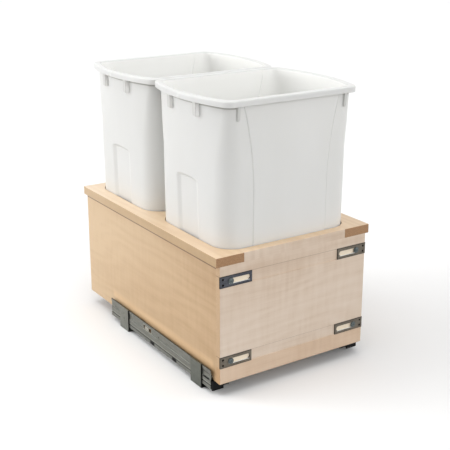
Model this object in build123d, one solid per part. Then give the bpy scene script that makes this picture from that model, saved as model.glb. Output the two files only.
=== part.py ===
from build123d import *
import os

# Pull-out waste cabinet: a maple box with a cut-out lid that carries two tall bins
# and rolls out of a kitchen cabinet on a pair of full-extension undermount runners.
# Millimetres, +Z up, +Y into the cabinet, X across. The origin is on the cabinet
# floor, in the middle of the unit. Pieces of the left side are placed by their
# distance from the left wall of the cabinet opening, and the right side mirrors them.

# ------------------------------------------------------------------ driving sizes
# opening and box
opening_width = 381.0          # clear width of the cabinet that the unit is fitted in
runner_gap = 9.5               # cabinet wall to box side, room for the runner's web
box_depth = 580.0
side_height = 247.5
panel_thickness = 12.7         # sides, front and back
bottom_thickness = 12.7
bottom_recess = 12.7           # box edge to the underside of the bottom panel
bottom_groove = 6.0            # how deep the bottom panel sits in the four walls
box_lift = 29.0                # lower edge of the box above the cabinet floor
edge_round = 1.0               # eased edges of the wood that a hand meets
side_notch_radius = 12.0       # half-round relief in each side, behind the front panel
side_notch_setback = 38.0      # its centre behind the front face
back_notch_gap = 15.2          # notches in the back panel: runner to the notch's inner edge

# lid
lid_thickness = 19.0
lid_wall_gap = 1.5             # lid edge to the cabinet wall
lid_stile_width = 64.0
bin_opening_gap = 1.5          # lid cut-out round a bin's wall

# dowels
dowel_radius = 3.0
dowel_half_length = 10.0
dowel_panel_bite = 8.0         # a corner dowel's depth in the front or side face
corner_dowel_first = 79.0      # lowest corner dowel above the box's lower edge
corner_dowel_pitch = 69.0
corner_dowel_count = 3
lid_dowel_inset = 49.0         # end dowels of the lid from the front and the back

# bins
bin_height = 533.4
bin_wall = 3.0
bin_floor_wall = 3.0
bin_side_margin = 11.3         # bin waist to the box side's inner face
bin_rest_gap = 0.3             # bin foot above the bottom panel
bin_waist_height = 240.8       # where the bin passes the top of the lid
bin_shoulder_height = 408.0    # where the side walls start to bow out
rim_setback = 11.8             # rim to the front face of the box
rim_back_setback = 3.8         # rim to the back face of the box
rim_gap = 5.6                  # between the two rims
rim_lip_height = 12.6
rim_lip_wall = 2.5
rim_overhang = 9.0             # rim beyond the wall below it
rim_corner_inset = 3.7         # rim corners inside the waist's half width
rim_bow = 24.6                 # how far the short rim sides bow out
rim_corner_radius = 21.0
waist_draw = 2.2               # front and back walls draw in from rim to waist
waist_bow = 2.0
waist_corner_radius = 45.0
foot_draw = 9.7                # side walls draw in from waist to foot
foot_draw_depth = 2.0
foot_bevel = 6.0
gusset_height = 28.0           # small brackets under the rim
gusset_depth = 5.0
side_gusset_width = 12.0
side_gusset_spacing = 96.0
end_gusset_width = 6.0
end_gusset_spacing = 254.0
side_relief_depth = 1.2        # sunk panel in the short walls
side_relief_width = 84.0
side_relief_top = 361.0
side_relief_rise = 5.0
end_panel_rise = 1.2           # raised panel on the long walls, flaring to the rim
end_panel_width = 176.8
end_panel_flare = 24.5
end_panel_shoulder = 338.0

# door brackets
bracket_length = 74.5
bracket_height = 23.5
bracket_thickness = 2.5
bracket_beyond_side = 0.5      # outer edge past the box side
bracket_groove_depth = 1.5     # full-width groove that guides the bracket
bracket_slot_width = 10.5
bracket_slot_travel = 40.0     # between the centres of the slot's round ends
bracket_slot_inset = 25.2      # outer edge to the centre of the slot's outer end
bracket_hole_radius = 2.4      # screw holes for the door
bracket_hole_inset = 7.0
bracket_hole_spacing = 11.6
bracket_hole_room = 2.5         # depth of the pocket in the panel behind each of them
bracket_hole_room_gap = 1.1     # pocket wider than the hole, all round
bracket_upper_height = 215.5   # bracket centres above the box's lower edge
bracket_lower_height = 46.5
slide_gap = 0.1                # between pieces that slide on each other
bracket_washer_radius = 6.3
bracket_washer_thickness = 1.0
bracket_screw_radius = 2.25
bracket_screw_head_radius = 4.0
bracket_screw_head = 1.5
bracket_screw_bite = 9.0       # in the wood of the front panel

# runners
sheet = 1.5                    # runner steel
floor_bracket_plate = 2.5
floor_bracket_width = 40.0
floor_bracket_foot = 72.0      # reach of the foot along the cabinet floor
floor_bracket_foot_plate = 2.0
floor_bracket_front = 56.0     # front edge of the front bracket behind the box front
floor_bracket_rear = 370.0
floor_hole_inset = 60.0        # cabinet wall to the floor screw holes
floor_hole_spacing = 24.0
floor_hole_radius = 2.3
rail_setback = 24.0            # runner's fixed member behind the box front
rail_length = 433.0
rail_top = 53.0                # above the cabinet floor
rail_base = 11.0
rail_reach = 46.0              # cabinet wall to the inner lip
rail_lip_height = 12.0
rail_rib_depth = 1.0           # long pressed rib in the web
rail_rib_low = 34.0
rail_rib_high = 45.0
rail_crease_height = 20.0      # sharp crease low on the web
rail_crease_depth = 1.4
roller_radius = 2.5
roller_length = 13.0
roller_pitch = 44.0
roller_gap = 0.05
roller_side_gap = 0.3
cage_thickness = 1.5
cage_overhang = 2.0
lower_cage_length = 270.0
upper_cage_length = 200.0
cage_setback = 150.0
middle_setback = 36.0
middle_length = 400.0
middle_width = 15.0
middle_inset = 27.0            # cabinet wall to the middle member
drawer_rail_setback = 34.0
drawer_rail_length = 440.0
drawer_rail_width = 21.5
drawer_rail_depth = 16.7
clip_length = 16.0             # plastic glide clips low in the web
clip_height = 6.0
clip_setback = 159.0           # first clip behind the box front
clip_pitch = 95.0
clip_count = 2
clip_proud = 0.5
window_setback = 268.0         # stamped window with its bent tongue
window_length = 34.0
window_height = 10.0
window_low = 35.5
tongue_thickness = 1.2
tongue_setback = 12.0          # behind the window's front edge
tongue_length = 17.0
tongue_drop = 3.5              # below the window's lower edge, where it joins the web
tongue_height = 11.5
web_hole_radius = 2.0
web_hole_height = 39.0
web_hole_places = (234.0, 437.0)
web_slot_setback = 29.0        # level slot at the front end of the web
web_slot_length = 20.0
web_slot_low = 30.0
web_slot_high = 32.5
rivet_radius = 2.0
rivet_head_radius = 3.6
rivet_head = 1.0
rivet_gap = 0.05
rivet_heights = (27.0, 39.5)   # above the cabinet floor, between crease, rib and top

# soft-close unit, lock and rear hook of each runner
closer_setback = 292.0
closer_length = 148.0
closer_width = 16.5
closer_top_gap = 0.6           # below the edge of the box side
closer_wall = 1.5
damper_radius = 3.7
damper_wall = 0.9
damper_length = 92.0
damper_rod_radius = 1.3
damper_rod_length = 32.0       # free length between catch and cylinder when shut
piston_setback = 66.0          # piston's place in the cylinder when shut
piston_length = 6.0
piston_gap = 0.05
spring_radius = 2.4
spring_wall = 0.7
catch_length = 16.0
catch_finger = 4.0
striker_length = 10.0
striker_gap = 2.0
striker_reach = 11.0
striker_height = 9.0
lock_face_setback = 21.0
lock_rail_gap = 0.3            # to the runner's members
lock_apron_gap = 0.5
lock_apron_thickness = 4.0     # apron in front of the fixed member's end
lock_apron_low = 8.0
lock_apron_width = 26.0
lock_pad_thickness = 3.0
lock_pad_length = 38.0
lock_pad_depth = 26.0
lock_screw_margin = 2.0         # screw head to the pad's edges
lock_pin_radius = 3.2
lock_pin_inset = 70.0          # cabinet wall to the lever's pivot
lock_pin_setback = 31.0
lock_pin_head = 1.2
lever_gap = 0.05
lever_hub_wall = 3.2
lever_height = 7.4
lever_length = 30.0
lever_arm = 5.0
lever_paddle = 12.0
lever_end_gap = 0.4
hook_plate = 2.0
hook_clearance = 0.5           # above the middle member
hook_flange = 18.0
hook_tab_length = 8.0
hook_tab_width = 9.0
small_screw_radius = 1.75
small_screw_head_radius = 3.4
small_screw_head = 1.6
small_screw_bite = 9.0
small_screw_spacing = 12.0

# ------------------------------------------------------------------ worked-out places
half_opening = opening_width / 2
box_half = half_opening - runner_gap
box_inner_half = box_half - panel_thickness
lid_half = half_opening - lid_wall_gap

# hardware that stands in front of the front panel, so that the unit is centred on Y
bracket_face = bracket_thickness + slide_gap - bracket_groove_depth
hardware_proud = bracket_face + slide_gap + bracket_washer_thickness + bracket_screw_head
front_y = -(box_depth - hardware_proud) / 2
back_y = front_y + box_depth
front_inner_y = front_y + panel_thickness
back_inner_y = back_y - panel_thickness

box_top = box_lift + side_height
bottom_under = box_lift + bottom_recess
bottom_top = bottom_under + bottom_thickness
lid_top = box_top + lid_thickness
bin_foot = bottom_top + bin_rest_gap
rim_top = bin_foot + bin_height
lip_low = rim_top - rim_lip_height

rim_half_depth = (box_depth - rim_setback - rim_back_setback - rim_gap) / 4
front_bin_y = front_y + rim_setback + rim_half_depth
rear_bin_y = back_y - rim_back_setback - rim_half_depth
waist_half = box_inner_half - bin_side_margin
rim_half = waist_half - rim_corner_inset

rail_y = front_y + rail_setback
rail_floor = rail_base + sheet                      # top of the rail's flange
web_outer = floor_bracket_plate
web_inner = web_outer + sheet
middle_low = rail_floor + 2 * roller_radius + 2 * roller_gap
drawer_rail_under = bottom_under - sheet
middle_high = drawer_rail_under - 2 * roller_radius - 2 * roller_gap
middle_centre = middle_inset + middle_width / 2
roller_low_z = rail_floor + roller_gap + roller_radius
roller_high_z = middle_high + roller_gap + roller_radius
drawer_rail_inset = middle_centre - drawer_rail_width / 2
drawer_rail_y = front_y + drawer_rail_setback
drawer_rail_end = drawer_rail_y + drawer_rail_length
closer_y = front_y + closer_setback
closer_high = box_lift - closer_top_gap
closer_inset = web_inner + clip_proud + closer_wall
foot_y_front = front_y + floor_bracket_front
foot_y_rear = front_y + floor_bracket_rear
lock_y = front_y + lock_face_setback
lock_back_y = drawer_rail_y - lock_rail_gap
lock_pin_y = front_y + lock_pin_setback
bracket_levels = {"upper": box_lift + bracket_upper_height, "lower": box_lift + bracket_lower_height}
bracket_slot_x = -(box_half + bracket_beyond_side) + bracket_slot_inset


# ------------------------------------------------------------------ small helpers
def block(x0, x1, y0, y1, z0, z1):
    """A box between two corners."""
    centre = ((x0 + x1) / 2, (y0 + y1) / 2, (z0 + z1) / 2)
    return Pos(*centre) * Box(abs(x1 - x0), abs(y1 - y0), abs(z1 - z0))


def rod_x(radius, x0, x1, y, z):
    return Pos((x0 + x1) / 2, y, z) * Rot(0, 90, 0) * Cylinder(radius, abs(x1 - x0))


def rod_y(radius, y0, y1, x, z):
    return Pos(x, (y0 + y1) / 2, z) * Rot(90, 0, 0) * Cylinder(radius, abs(y1 - y0))


def rod_z(radius, z0, z1, x, y):
    return Pos(x, y, (z0 + z1) / 2) * Cylinder(radius, abs(z1 - z0))


def wall_x(distance):
    """X of a place on the left side, by its distance from the cabinet wall."""
    return -half_opening + distance


def left_block(u0, u1, y0, y1, z0, z1):
    return block(wall_x(u0), wall_x(u1), y0, y1, z0, z1)


def mirrored(shape):
    """The right-hand twin of a left-hand piece."""
    return shape.mirror(Plane.YZ)


def bar_along_y(points, y0, y1):
    """A bar with a section drawn in X and Z, from y0 to y1."""
    section = Plane.XZ * make_face(Polyline(*points, close=True))
    return Pos(0, y0, 0) * extrude(section, amount=y1 - y0, dir=(0, 1, 0))


# ------------------------------------------------------------------ bins
def bin_station(height, half_width, half_depth, bow, radius):
    return {"z": height, "a": half_width, "b": half_depth, "bow": bow, "r": radius}


def bin_stations():
    """Outer sections of a bin's wall from its foot to its rim, heights above the foot."""
    top_half = rim_half - rim_overhang
    top_depth = rim_half_depth - rim_overhang
    waist_depth = top_depth - waist_draw
    foot_half = waist_half - foot_draw
    foot_depth = waist_depth - foot_draw_depth
    waist_flat = waist_half - waist_bow
    shoulder_share = (bin_shoulder_height - bin_waist_height) / (bin_height - bin_waist_height)
    shoulder_half = waist_flat + (top_half - waist_flat) * shoulder_share
    shoulder_bow = waist_bow + (rim_bow - waist_bow) * shoulder_share
    shoulder_depth = waist_depth + waist_draw * shoulder_share
    return [
        bin_station(0, foot_half - foot_bevel, foot_depth - foot_bevel, waist_bow,
                    waist_corner_radius - foot_bevel),
        bin_station(foot_bevel, foot_half, foot_depth, waist_bow, waist_corner_radius),
        bin_station(bin_waist_height, waist_flat, waist_depth, waist_bow, waist_corner_radius),
        bin_station(bin_shoulder_height, shoulder_half, shoulder_depth, shoulder_bow,
                    waist_corner_radius),
        bin_station(bin_height, top_half, top_depth, rim_bow, rim_corner_radius),
    ]


def bin_outline(half_width, half_depth, bow, radius):
    """A bin's plan: straight long walls, short walls that bow out, round corners."""
    long_front = Line((-half_width, -half_depth), (half_width, -half_depth))
    bow_right = ThreePointArc((half_width, -half_depth), (half_width + bow, 0), (half_width, half_depth))
    long_back = Line((half_width, half_depth), (-half_width, half_depth))
    bow_left = ThreePointArc((-half_width, half_depth), (-half_width - bow, 0), (-half_width, -half_depth))
    face = make_face([long_front, bow_right, long_back, bow_left])
    return fillet(face.vertices(), radius)


def bin_loft(inset, low=0.0, high=0.0):
    """The bin's wall surface, moved in by an inset; low and high shift its two ends."""
    stations = bin_stations()
    stations[0]["z"] += low
    stations[1]["z"] += low
    stations[-1]["z"] += high
    sections = [Pos(0, 0, s["z"]) * bin_outline(s["a"] - inset, s["b"] - inset, s["bow"], s["r"] - inset)
                for s in stations]
    return loft(sections, ruled=True)


def bin_rim():
    """The rolled rim: a flat top with a skirt that hangs outside the wall."""
    outer = bin_outline(rim_half, rim_half_depth, rim_bow, rim_corner_radius)
    inner = bin_outline(rim_half - rim_lip_wall, rim_half_depth - rim_lip_wall, rim_bow,
                        rim_corner_radius - rim_lip_wall)
    hollow = Pos(0, 0, bin_height - rim_lip_height) * extrude(inner, rim_lip_height - rim_lip_wall)
    return Pos(0, 0, bin_height - rim_lip_height) * extrude(outer, rim_lip_height) - hollow


def bin_gussets():
    """Small brackets between the rim and the walls; the inside is cut away later."""
    high = bin_height - rim_lip_wall
    low = bin_height - rim_lip_height - gusset_height
    side_wall = rim_half - rim_overhang + rim_bow
    end_wall = rim_half_depth - rim_overhang
    pieces = []
    for side in (-1, 1):
        for end in (-1, 1):
            y = end * side_gusset_spacing / 2
            pieces.append(block(side * (side_wall - 2 * gusset_depth), side * (side_wall + gusset_depth / 2),
                                y - side_gusset_width / 2, y + side_gusset_width / 2, low, high))
            x = side * end_gusset_spacing / 2
            pieces.append(block(x - end_gusset_width / 2, x + end_gusset_width / 2,
                                end * (end_wall - gusset_depth), end * (end_wall + gusset_depth), low, high))
    return pieces


def side_relief_tool():
    """A bar across the bin with the outline of the sunk panel in the short walls."""
    half = side_relief_width / 2
    outline = [Line((-half, 0), (half, 0)), Line((half, 0), (half, side_relief_top)),
               ThreePointArc((half, side_relief_top), (0, side_relief_top + side_relief_rise),
                             (-half, side_relief_top)),
               Line((-half, side_relief_top), (-half, 0))]
    reach = waist_half + rim_bow + rim_overhang
    return extrude(Plane.YZ * make_face(outline), amount=reach, both=True)


def end_panel_tool(low=0.0):
    """A bar with the outline of the raised panel: straight up to its shoulder, then flaring to the rim."""
    half = end_panel_width / 2
    wide = half + end_panel_flare
    top = bin_height - rim_lip_height
    flare_right = TangentArc((half, end_panel_shoulder), (wide, top), tangent=(0, 1))
    flare_left = TangentArc((-half, end_panel_shoulder), (-wide, top), tangent=(0, 1))
    outline = [Line((-half, low), (half, low)), Line((half, low), (half, end_panel_shoulder)), flare_right,
               Line((wide, top), (-wide, top)), flare_left, Line((-half, end_panel_shoulder), (-half, low))]
    return extrude(Plane.XZ * make_face(outline), amount=rim_half_depth, both=True)


def waste_bin():
    """One bin about its own foot centre, with the same wall behind its raised panels."""
    sunk = side_relief_tool() - bin_loft(side_relief_depth)
    raised = end_panel_tool() & bin_loft(-end_panel_rise)
    body = bin_loft(0) - sunk + raised + bin_rim() + bin_gussets()
    hollow = bin_loft(bin_wall, low=bin_floor_wall, high=bin_wall)
    behind = end_panel_tool(bin_floor_wall) & bin_loft(bin_wall - end_panel_rise, low=bin_floor_wall)
    return body - hollow - behind


def waist_at(level):
    """The bin's outer section where it passes a level of the unit, grown by the lid's gap."""
    stations = bin_stations()
    height = level - bin_foot
    low = max((s for s in stations[:-1] if s["z"] <= height), key=lambda s: s["z"])
    high = min((s for s in stations if s["z"] > height), key=lambda s: s["z"])
    share = (height - low["z"]) / (high["z"] - low["z"])
    mix = {key: low[key] + (high[key] - low[key]) * share for key in low}
    return bin_outline(mix["a"] + bin_opening_gap, mix["b"] + end_panel_rise + bin_opening_gap, mix["bow"],
                       mix["r"] + bin_opening_gap)


# ------------------------------------------------------------------ box
def corner_dowel_heights():
    return [box_lift + corner_dowel_first + index * corner_dowel_pitch for index in range(corner_dowel_count)]


def lid_dowel_places():
    x = box_half - panel_thickness / 2
    rows = (front_y + lid_dowel_inset, (front_y + back_y) / 2, back_y - lid_dowel_inset)
    return [(side * x, y) for side in (-1, 1) for y in rows]


def lid_dowels():
    return [rod_z(dowel_radius, box_top - dowel_half_length, box_top + dowel_half_length, x, y)
            for x, y in lid_dowel_places()]


def corner_dowels():
    """Dowels along Y into the front panel, and along X into the back panel's edges."""
    side_mid = box_half - panel_thickness / 2
    back_mid = back_y - panel_thickness / 2
    pieces = []
    for side in (-1, 1):
        for z in corner_dowel_heights():
            start = front_inner_y - dowel_panel_bite
            pieces.append(rod_y(dowel_radius, start, start + 2 * dowel_half_length, side * side_mid, z))
            outer = side * (box_inner_half + dowel_panel_bite)
            pieces.append(rod_x(dowel_radius, outer, outer - side * 2 * dowel_half_length, back_mid, z))
    return pieces


def bottom_panel():
    return block(-box_inner_half - bottom_groove, box_inner_half + bottom_groove,
                 front_inner_y - bottom_groove, back_inner_y + bottom_groove, bottom_under, bottom_top)


def bracket_guide_bars():
    """The two shallow grooves across the front panel."""
    half = bracket_height / 2 + slide_gap
    return [block(-box_half, box_half, front_y, front_y + bracket_groove_depth, z - half, z + half)
            for z in bracket_levels.values()]


def bracket_screw_places():
    return [(side * bracket_slot_x, z) for side in (-1, 1) for z in bracket_levels.values()]


def bracket_hole_places():
    """Centres of the door screw holes on the left side, with their mirror twins."""
    x = box_half + bracket_beyond_side - bracket_hole_inset
    return [(side * x, z + end * bracket_hole_spacing / 2)
            for side in (-1, 1) for end in (-1, 1) for z in bracket_levels.values()]


def front_panel():
    panel = block(-box_half, box_half, front_y, front_inner_y, box_lift, box_top)
    lower_edges = panel.edges().filter_by(Axis.X).group_by(Axis.Z)[0].sort_by(Axis.Y)[:1]
    panel = fillet(panel.edges().filter_by(Axis.Z).group_by(Axis.Y)[0] + lower_edges, edge_round)
    panel -= bracket_guide_bars()
    panel -= bottom_panel()
    panel -= corner_dowels()
    start = front_y + bracket_groove_depth
    for x, z in bracket_screw_places():
        panel -= rod_y(bracket_screw_radius, start, start + bracket_screw_bite, x, z)
    for x, z in bracket_hole_places():
        panel -= rod_y(bracket_hole_radius + bracket_hole_room_gap, start, start + bracket_hole_room, x, z)
    return panel


def box_side():
    """The left side, behind the front panel, with its groove for the bottom and its relief."""
    side = block(-box_half, -box_inner_half, front_inner_y, back_y, box_lift, box_top)
    side = fillet(side.edges().filter_by(Axis.Y).group_by(Axis.Z)[0].sort_by(Axis.X)[:1], edge_round)
    side -= rod_x(side_notch_radius, -box_half, -box_inner_half, front_y + side_notch_setback, box_lift)
    side -= bottom_panel()
    side -= corner_dowels()
    return side - lid_dowels()


def back_panel():
    """The back, with a notch at each lower corner that the runner passes through."""
    panel = block(-box_inner_half, box_inner_half, back_inner_y, back_y, box_lift, box_top)
    side_inset = runner_gap + panel_thickness
    notch = left_block(side_inset, middle_inset + middle_width + back_notch_gap, back_inner_y, back_y,
                       box_lift, bottom_under)
    panel -= [notch, mirrored(notch)]
    panel -= bottom_panel()
    return panel - corner_dowels()


# ------------------------------------------------------------------ lid
def lid_openings():
    cut = waist_at(lid_top)
    return [Pos(0, y, box_top) * extrude(cut, lid_thickness) for y in (front_bin_y, rear_bin_y)]


def lid_stile():
    """The left board of the lid, full depth, with its share of the two cut-outs."""
    stile = block(-lid_half, -lid_half + lid_stile_width, front_y, back_y, box_top, lid_top)
    outer = stile.edges().filter_by(Axis.Y).group_by(Axis.X)[0]
    ends = stile.edges().filter_by(Axis.X).group_by(Axis.Z)[-1]
    stile = fillet(outer + ends, edge_round)
    stile -= lid_openings()
    return stile - lid_dowels()


def lid_rail(y0, y1, eased=None):
    """A board between the stiles; the cut-outs leave it narrow. eased is -1 or 1 at an outer end."""
    inner = lid_half - lid_stile_width
    rail = block(-inner, inner, y0, y1, box_top, lid_top)
    if eased is not None:
        top_edges = rail.edges().filter_by(Axis.X).group_by(Axis.Z)[-1].sort_by(Axis.Y)
        rail = fillet(top_edges[:1] if eased < 0 else top_edges[-1:], edge_round)
    return rail - lid_openings()


# ------------------------------------------------------------------ door brackets
def door_bracket(z):
    """A left bracket: a slotted plate that slides in the groove, its outer corner rounded."""
    outer = -(box_half + bracket_beyond_side)
    inner = outer + bracket_length
    rear = front_y + bracket_groove_depth - slide_gap
    face = rear - bracket_thickness
    half = bracket_height / 2
    bracket = block(outer, inner, face, rear, z - half, z + half)
    bracket = fillet(bracket.edges().filter_by(Axis.Z).group_by(Axis.Y)[0].sort_by(Axis.X)[:1], edge_round)
    slot_radius = bracket_slot_width / 2
    slot_end = bracket_slot_x + bracket_slot_travel
    bracket -= block(bracket_slot_x, slot_end, face, rear, z - slot_radius, z + slot_radius)
    for x in (bracket_slot_x, slot_end):
        bracket -= rod_y(slot_radius, face, rear, x, z)
    for side in (-1, 1):
        bracket -= rod_y(bracket_hole_radius, face, rear, outer + bracket_hole_inset,
                         z + side * bracket_hole_spacing / 2)
    return bracket


def bracket_washer(x, z):
    rear = front_y - bracket_face - slide_gap
    ring = rod_y(bracket_washer_radius, rear - bracket_washer_thickness, rear, x, z)
    return ring - rod_y(bracket_screw_radius, rear - bracket_washer_thickness, rear, x, z)


def bracket_screw(x, z):
    """A pan-head screw through the slot into the front panel."""
    seat = front_y - bracket_face - slide_gap - bracket_washer_thickness
    head = rod_y(bracket_screw_head_radius, seat - bracket_screw_head, seat, x, z)
    head = fillet(head.edges().filter_by(GeomType.CIRCLE).sort_by(Axis.Y)[:1], bracket_screw_head / 2)
    end = front_y + bracket_groove_depth + bracket_screw_bite
    cross = block(x - bracket_screw_radius, x + bracket_screw_radius, seat - bracket_screw_head,
                  seat - bracket_screw_head / 2, z - slide_gap * 4, z + slide_gap * 4)
    return head + rod_y(bracket_screw_radius, seat, end, x, z) - cross


# ------------------------------------------------------------------ runners
def floor_bracket(y0):
    """An upright plate outside the runner's web, with a foot that turns in under the box."""
    y1 = y0 + floor_bracket_width
    plate = left_block(0, floor_bracket_plate, y0, y1, 0, rail_top)
    foot = left_block(0, floor_bracket_foot, y0, y1, 0, floor_bracket_foot_plate)
    bracket = plate + foot
    corner = bracket.edges().filter_by(Axis.Y).group_by(Axis.Z)[0].sort_by(Axis.X)[:1]
    bracket = fillet(corner, floor_bracket_foot_plate / 2)
    middle = y0 + floor_bracket_width / 2
    for side in (-1, 1):
        bracket -= rod_z(floor_hole_radius, 0, floor_bracket_foot_plate, wall_x(floor_hole_inset),
                         middle + side * floor_hole_spacing / 2)
    for z in rivet_heights:
        bracket -= rod_x(rivet_radius + rivet_gap, wall_x(0), wall_x(floor_bracket_plate), middle, z)
    return bracket


def bracket_rivets(y0):
    """Rivets through bracket and web, flush outside, with a round head inside."""
    middle = y0 + floor_bracket_width / 2
    rivets = []
    for z in rivet_heights:
        seat = web_inner + (rail_rib_depth if rail_rib_low < z < rail_rib_high else 0)
        shank = rod_x(rivet_radius, wall_x(0), wall_x(seat), middle, z)
        rivets.append(shank + rod_x(rivet_head_radius, wall_x(seat), wall_x(seat + rivet_head), middle, z))
    return rivets


def clip_places():
    return [front_y + clip_setback + index * clip_pitch for index in range(clip_count)]


def clip_span():
    """Low and high edge of the glide clips, between the flange and the crease."""
    return rail_floor, rail_floor + clip_height


def rail_web_side():
    """Outer line of the web from its top to its foot, distance from the wall and height."""
    rib = web_outer + rail_rib_depth
    crease = web_outer + rail_crease_depth
    return [(web_outer, rail_top), (web_outer, rail_rib_high + rail_rib_depth), (rib, rail_rib_high),
            (rib, rail_rib_low), (web_outer, rail_rib_low - rail_rib_depth),
            (web_outer, rail_crease_height + rail_crease_depth), (crease, rail_crease_height),
            (web_outer, rail_crease_height - rail_crease_depth), (web_outer, rail_base)]


def cabinet_member():
    """The fixed member: a ribbed web at the cabinet wall and a flange that the rollers run on."""
    outer = rail_web_side()
    flange = [(rail_reach, rail_base), (rail_reach, rail_base + rail_lip_height),
              (rail_reach - sheet, rail_base + rail_lip_height), (rail_reach - sheet, rail_floor),
              (web_inner, rail_floor)]
    inner = [(u + sheet, z) for u, z in reversed(outer[:-1])]
    points = [(wall_x(u), z) for u, z in outer + flange + inner]
    member = bar_along_y(points, rail_y, rail_y + rail_length)
    low, high = clip_span()
    deepest = web_inner + rail_rib_depth + rail_crease_depth
    for y in clip_places():
        member -= left_block(web_outer, deepest, y, y + clip_length, low, high)
    window_y = front_y + window_setback
    member -= left_block(web_outer, deepest, window_y, window_y + window_length, window_low,
                         window_low + window_height)
    for setback in web_hole_places:
        member -= rod_x(web_hole_radius, wall_x(web_outer), wall_x(deepest), front_y + setback, web_hole_height)
    slot_y = front_y + web_slot_setback
    member -= left_block(web_outer, deepest, slot_y, slot_y + web_slot_length, web_slot_low, web_slot_high)
    for y0 in (foot_y_front, foot_y_rear):
        for z in rivet_heights:
            member -= rod_x(rivet_radius + rivet_gap, wall_x(web_outer), wall_x(deepest),
                            y0 + floor_bracket_width / 2, z)
    tongue_y = window_y + tongue_setback
    tongue_low = window_low - tongue_drop
    tongue = left_block(web_inner, web_inner + tongue_thickness, tongue_y, tongue_y + tongue_length,
                        tongue_low, tongue_low + tongue_height)
    return member + tongue


def glide_clips():
    low, high = clip_span()
    return [left_block(web_outer - clip_proud, web_inner + clip_proud, y, y + clip_length, low, high)
            for y in clip_places()]


def middle_member():
    """The member between cabinet and drawer: a flat steel tube that the rollers carry."""
    y0 = front_y + middle_setback
    tube = left_block(middle_inset, middle_inset + middle_width, y0, y0 + middle_length, middle_low, middle_high)
    tube = fillet(tube.edges().filter_by(Axis.Y), sheet)
    bore = left_block(middle_inset + sheet, middle_inset + middle_width - sheet, y0, y0 + middle_length,
                      middle_low + sheet, middle_high - sheet)
    return tube - bore


def drawer_member():
    """The channel under the bottom panel that the box sits on, open below."""
    y0, y1 = drawer_rail_y, drawer_rail_end
    u0, u1 = drawer_rail_inset, drawer_rail_inset + drawer_rail_width
    channel = left_block(u0, u1, y0, y1, bottom_under - drawer_rail_depth, bottom_under)
    return channel - left_block(u0 + sheet, u1 - sheet, y0, y1, bottom_under - drawer_rail_depth, drawer_rail_under)


def roller_places(length):
    count = int((length - roller_pitch / 2) // roller_pitch) + 1
    first = front_y + cage_setback + (length - (count - 1) * roller_pitch) / 2
    return [first + index * roller_pitch for index in range(count)]


def rollers(length, z):
    u0 = middle_centre - roller_length / 2
    return [rod_x(roller_radius, wall_x(u0), wall_x(u0 + roller_length), y, z) for y in roller_places(length)]


def roller_cage(length, z):
    """A plastic strip with a window for each roller."""
    half = roller_length / 2 + cage_overhang
    y0 = front_y + cage_setback
    strip = left_block(middle_centre - half, middle_centre + half, y0, y0 + length,
                       z - cage_thickness / 2, z + cage_thickness / 2)
    u0 = middle_centre - roller_length / 2 - roller_side_gap
    reach = roller_radius + roller_side_gap
    for y in roller_places(length):
        strip -= left_block(u0, u0 + roller_length + 2 * roller_side_gap, y - reach, y + reach,
                            z - cage_thickness, z + cage_thickness)
    return strip


# ------------------------------------------------------------------ soft close
def closer_housing():
    """A plastic trough on the rail's flange, open at its front end."""
    u0, u1 = closer_inset, closer_inset + closer_width
    y1 = closer_y + closer_length
    housing = left_block(u0, u1, closer_y, y1, rail_floor, closer_high)
    return housing - left_block(u0 + closer_wall, u1 - closer_wall, closer_y, y1 - closer_wall,
                                rail_floor + closer_wall, closer_high - closer_wall)


def closer_axis():
    return (rail_floor + closer_high) / 2


def damper_place():
    """Distance from the wall to the damper's axis."""
    return closer_inset + closer_wall + damper_radius + slide_gap


def spring_place():
    return closer_inset + closer_width - closer_wall - spring_radius - slide_gap


def damper_front():
    return closer_y + closer_length - closer_wall - slide_gap - damper_length


def damper_bore():
    return damper_radius - damper_wall


def damper_cylinder():
    """A tube with a thick end wall at the back and a guide for the rod at the front."""
    y0 = damper_front()
    y1 = y0 + damper_length
    x = wall_x(damper_place())
    tube = rod_y(damper_radius, y0, y1, x, closer_axis())
    tube -= rod_y(damper_bore(), y0 + piston_length, y1 - piston_length, x, closer_axis())
    return tube - rod_y(damper_rod_radius + piston_gap, y0, y0 + piston_length, x, closer_axis())


def damper_rod():
    """The rod with its piston, fixed to the catch."""
    y0 = damper_front()
    y1 = y0 + piston_setback
    x = wall_x(damper_place())
    rod = rod_y(damper_rod_radius, catch_end(), y1, x, closer_axis())
    return rod + rod_y(damper_bore() - piston_gap, y1 - piston_length, y1, x, closer_axis())


def catch_end():
    return damper_front() - damper_rod_length


def closer_catch():
    """The slider at the front of the damper, with the finger that the striker meets."""
    y1 = catch_end()
    y0 = y1 - catch_length
    low = rail_floor + closer_wall + slide_gap
    u0 = closer_inset + closer_wall + slide_gap
    u1 = closer_inset + closer_width - closer_wall - slide_gap
    slider = left_block(u0, u1, y0, y1, low, closer_axis() + spring_radius)
    finger_y = closer_y - catch_finger
    neck = left_block(u1 - catch_finger, u1, finger_y, y1, low, low + catch_finger)
    finger = left_block(u1 - catch_finger, u1, finger_y, finger_y + catch_finger / 2, low, closer_high - closer_wall)
    return slider + neck + finger


def closing_spring():
    """The space of the closely wound spring, from the catch to the housing's end wall."""
    y0 = catch_end()
    y1 = closer_y + closer_length - closer_wall
    sleeve = rod_y(spring_radius, y0, y1, wall_x(spring_place()), closer_axis())
    return sleeve - rod_y(spring_radius - spring_wall, y0, y1, wall_x(spring_place()), closer_axis())


def striker():
    """The peg on the drawer member that the catch holds when the unit is shut."""
    y1 = closer_y - catch_finger - striker_gap
    high = closer_high
    return left_block(drawer_rail_inset - striker_reach, drawer_rail_inset, y1 - striker_length, y1,
                      high - striker_height, high)


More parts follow.
